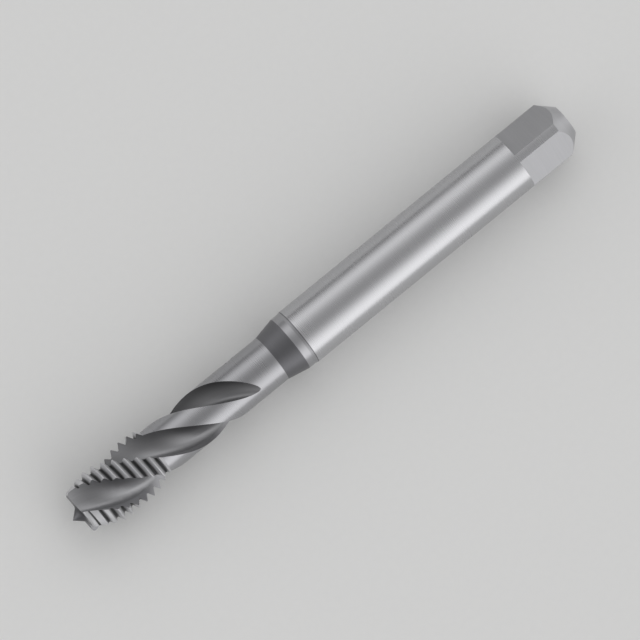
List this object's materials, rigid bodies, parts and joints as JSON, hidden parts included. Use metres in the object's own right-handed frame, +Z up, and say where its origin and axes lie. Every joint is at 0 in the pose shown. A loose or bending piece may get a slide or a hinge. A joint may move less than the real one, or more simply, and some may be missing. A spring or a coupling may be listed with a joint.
{
  "type": "spiral flute tap",
  "caption": "Machine tap with spiral flutes, a short V thread, a relieved neck, a plain round shank and a drive square.",
  "frame": {"origin": "on the surface that the tap lies on, under the middle of its length", "axes": "+X along the tool's axis towards the drive square, +Z up, with a corner of the square upwards"},
  "size_m": [0.1008, 0.0102, 0.0101],
  "materials": {
    "steel": "ground bright, satin in the flutes"
  },
  "bodies": {
    "root": {"tap": "steel"}
  },
  "joints": []
}
